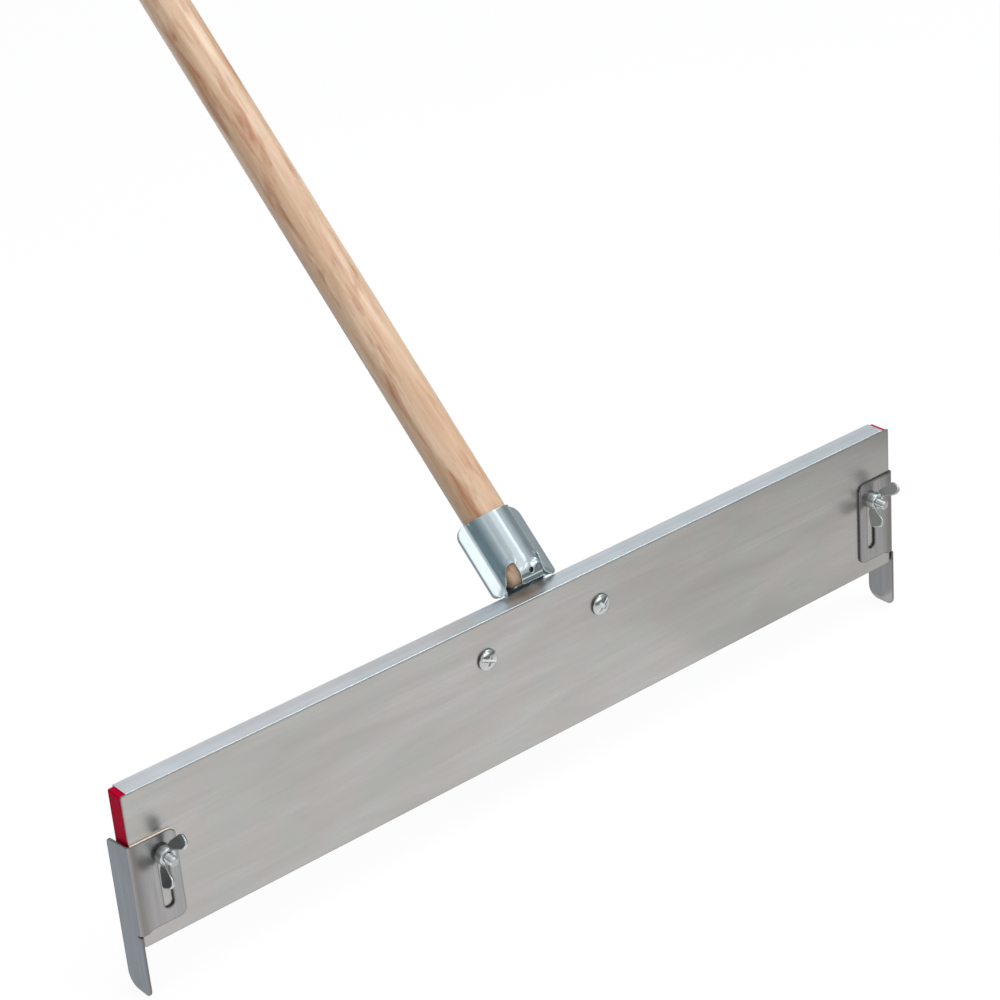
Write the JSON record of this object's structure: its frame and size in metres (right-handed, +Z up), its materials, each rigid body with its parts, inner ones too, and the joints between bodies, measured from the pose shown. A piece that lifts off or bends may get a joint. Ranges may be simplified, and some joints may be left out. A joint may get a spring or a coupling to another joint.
{
  "type": "leveling compound spreader",
  "caption": "Hand tool for spreading floor leveling compound: a straight blade with height-setting skids at its ends, wing nuts that clamp them, and a long handle in a leaning socket.",
  "frame": {"origin": "middle of the blade's working edge, halfway through the blade's depth", "axes": "+X along the blade, +Y from its front to its back, the way the handle leans, +Z up from the working edge"},
  "size_m": [0.6044, 1.064, 1.0988],
  "materials": {
    "aluminium": "mill finish, drawn along the blade",
    "stainless": "satin rolled sheet",
    "skid_stainless": "satin rolled sheet, bent",
    "red_plastic": "moulded, slight sheen",
    "plated_fastener": "bright zinc plated",
    "wing_nut_zinc": "cast, zinc plated",
    "bracket_zinc": "pressed, bright zinc plated",
    "wood": "turned, clear satin lacquer"
  },
  "bodies": {
    "blade": {"blade_beam": "aluminium", "front_wear_plate": "stainless", "end_plug_left": "red_plastic", "end_plug_right": "red_plastic", "skid_bolt_left": "plated_fastener", "skid_bolt_right": "plated_fastener", "bracket_base": "bracket_zinc", "bracket_front_shell": "bracket_zinc", "bracket_screw_left": "plated_fastener", "bracket_screw_right": "plated_fastener", "bracket_washer_left": "plated_fastener", "bracket_washer_right": "plated_fastener", "bracket_nut_left": "plated_fastener", "bracket_nut_right": "plated_fastener", "handle": "wood"},
    "left_skid": {"skid_left": "skid_stainless"},
    "right_skid": {"skid_right": "skid_stainless"},
    "left_washer": {"skid_washer_left": "plated_fastener"},
    "right_washer": {"skid_washer_right": "plated_fastener"},
    "left_wing_nut": {"wing_nut_left": "wing_nut_zinc"},
    "right_wing_nut": {"wing_nut_right": "wing_nut_zinc"}
  },
  "joints": [
    {"name": "left_skid_height", "type": "slide", "parent": "blade", "child": "left_skid", "axis": [0, 0, 1], "range_m": [0, 0.033]},
    {"name": "right_skid_height", "type": "slide", "parent": "blade", "child": "right_skid", "axis": [0, 0, 1], "range_m": [0, 0.033]},
    {"name": "left_nut_travel", "type": "slide", "parent": "blade", "child": "left_washer", "axis": [0, -1, 0], "range_m": [0, 0.003]},
    {"name": "right_nut_travel", "type": "slide", "parent": "blade", "child": "right_washer", "axis": [0, -1, 0], "range_m": [0, 0.003]},
    {"name": "left_nut_turn", "type": "hinge", "parent": "left_washer", "child": "left_wing_nut", "pos_m": [-0.2812, -0.01575, 0.0555], "axis": [0, -1, 0], "range_deg": [0, 1080]},
    {"name": "right_nut_turn", "type": "hinge", "parent": "right_washer", "child": "right_wing_nut", "pos_m": [0.2812, -0.01575, 0.0555], "axis": [0, -1, 0], "range_deg": [0, 1080]}
  ],
  "couplings": [
    {"joint": "left_nut_travel", "follows": "left_nut_turn", "m_per_rad": 0.00015915},
    {"joint": "right_nut_travel", "follows": "right_nut_turn", "m_per_rad": 0.00015915}
  ]
}
